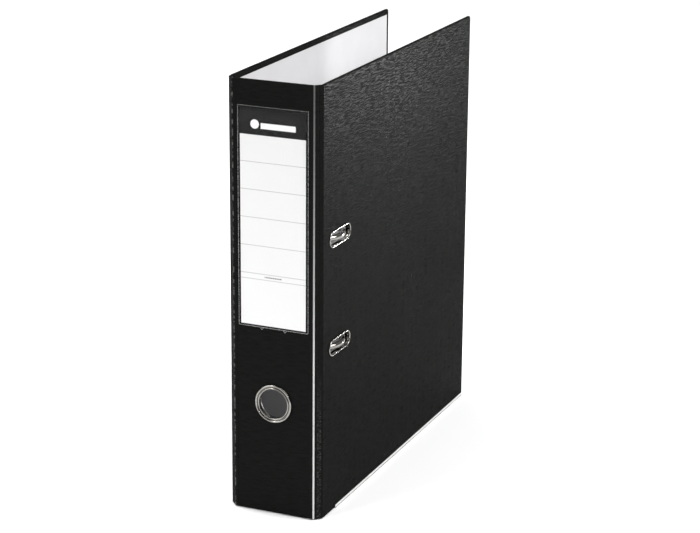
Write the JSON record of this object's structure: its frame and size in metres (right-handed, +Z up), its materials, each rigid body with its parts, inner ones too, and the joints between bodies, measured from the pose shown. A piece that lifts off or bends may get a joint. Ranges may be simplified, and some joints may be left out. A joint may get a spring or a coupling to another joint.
{
  "type": "lever arch file",
  "caption": "Upright A4 lever arch file in black embossed foil, with bevelled spine corners, label pocket, finger ring, slotted front cover, edge shoes and a lever arch mechanism.",
  "frame": {"origin": "middle of the footprint, on the surface that the closed file stands on", "axes": "+Z up along the spine, -Y out of the spine, +X out of the front cover"},
  "size_m": [0.0754, 0.2866, 0.318],
  "materials": {
    "black_foil": "fine embossed grain, satin",
    "greyboard": "raw board",
    "lining_paper": "smooth white paper",
    "nickel": "bright nickel plating",
    "steel_shoe": "plated sheet steel",
    "clear_film": "clear glossy film",
    "label_card": "matte card",
    "spring_steel": "bare spring steel"
  },
  "bodies": {
    "spine": {"spine_board": "greyboard", "spine_foil": "black_foil", "spine_lining": "lining_paper", "finger_ring": "nickel", "finger_washer": "nickel", "label_pocket": "clear_film"},
    "label": {"spine_label": "label_card"},
    "front_strip": {"front_strip_board": "greyboard", "front_strip_foil": "black_foil", "front_strip_lining": "lining_paper"},
    "front_cover": {"front_board": "greyboard", "front_foil": "black_foil", "front_lining": "lining_paper", "front_shoe": "steel_shoe", "slot_eyelet_lower": "nickel", "slot_eyelet_upper": "nickel", "slot_washer_lower": "nickel", "slot_washer_upper": "nickel"},
    "back_strip": {"back_strip_board": "greyboard", "back_strip_foil": "black_foil", "back_strip_lining": "lining_paper"},
    "back_cover": {"back_board": "greyboard", "back_foil": "black_foil", "back_lining": "lining_paper", "back_shoe": "steel_shoe", "base_plate": "nickel", "rivet_1": "nickel", "rivet_2": "nickel", "rivet_3": "nickel", "rivet_4": "nickel", "post_lower": "nickel", "post_upper": "nickel", "arch_spring": "spring_steel", "spring_rivet": "nickel", "lever_pin": "nickel"},
    "arch": {"arch_bar": "nickel"},
    "lever": {"lever": "nickel", "roller_pin": "nickel"},
    "roller": {"roller": "spring_steel"},
    "compressor": {"compressor_bar": "nickel", "compressor_catch": "spring_steel"}
  },
  "joints": [
    {"name": "case_opening", "type": "hinge", "parent": "spine", "child": "back_strip", "pos_m": [-0.03185, -0.14175, 0.159], "axis": [0, 0, 1], "range_deg": [0, 45]},
    {"name": "back_cover_crease", "type": "hinge", "parent": "back_strip", "child": "back_cover", "pos_m": [-0.0368, -0.1368, 0.159], "axis": [0, 0, 1], "range_deg": [0, 45]},
    {"name": "front_spine_crease", "type": "hinge", "parent": "spine", "child": "front_strip", "pos_m": [0.03025, -0.14175, 0.159], "axis": [0, 0, -1], "range_deg": [0, 45]},
    {"name": "front_cover_crease", "type": "hinge", "parent": "front_strip", "child": "front_cover", "pos_m": [0.0352, -0.1368, 0.159], "axis": [0, 0, -1], "range_deg": [0, 45]},
    {"name": "arch_pivot", "type": "hinge", "parent": "back_cover", "child": "arch", "pos_m": [-0.0288, -0.12775, 0.165], "axis": [0, 0, -1], "range_deg": [0, 58]},
    {"name": "lever_pivot", "type": "hinge", "parent": "back_cover", "child": "lever", "pos_m": [-0.01532, -0.11925, 0.174], "axis": [0, 1, 0], "range_deg": [0, 78]},
    {"name": "roller_spin", "type": "hinge", "parent": "lever", "child": "roller", "pos_m": [-0.02175, -0.11925, 0.18166], "axis": [0, 1, 0], "continuous": true},
    {"name": "compressor_slide", "type": "slide", "parent": "back_cover", "child": "compressor", "axis": [1, 0, 0], "range_m": [0, 0.038]},
    {"name": "label_slide", "type": "slide", "parent": "spine", "child": "label", "axis": [0, 0, 1], "range_m": [0, 0.161]}
  ],
  "couplings": [
    {"joint": "back_cover_crease", "follows": "case_opening", "ratio": 1},
    {"joint": "front_spine_crease", "follows": "case_opening", "ratio": 1},
    {"joint": "front_cover_crease", "follows": "case_opening", "ratio": 1},
    {"joint": "arch_pivot", "follows": "case_opening", "ratio": 1.2889},
    {"joint": "lever_pivot", "follows": "case_opening", "ratio": 1.7333}
  ]
}
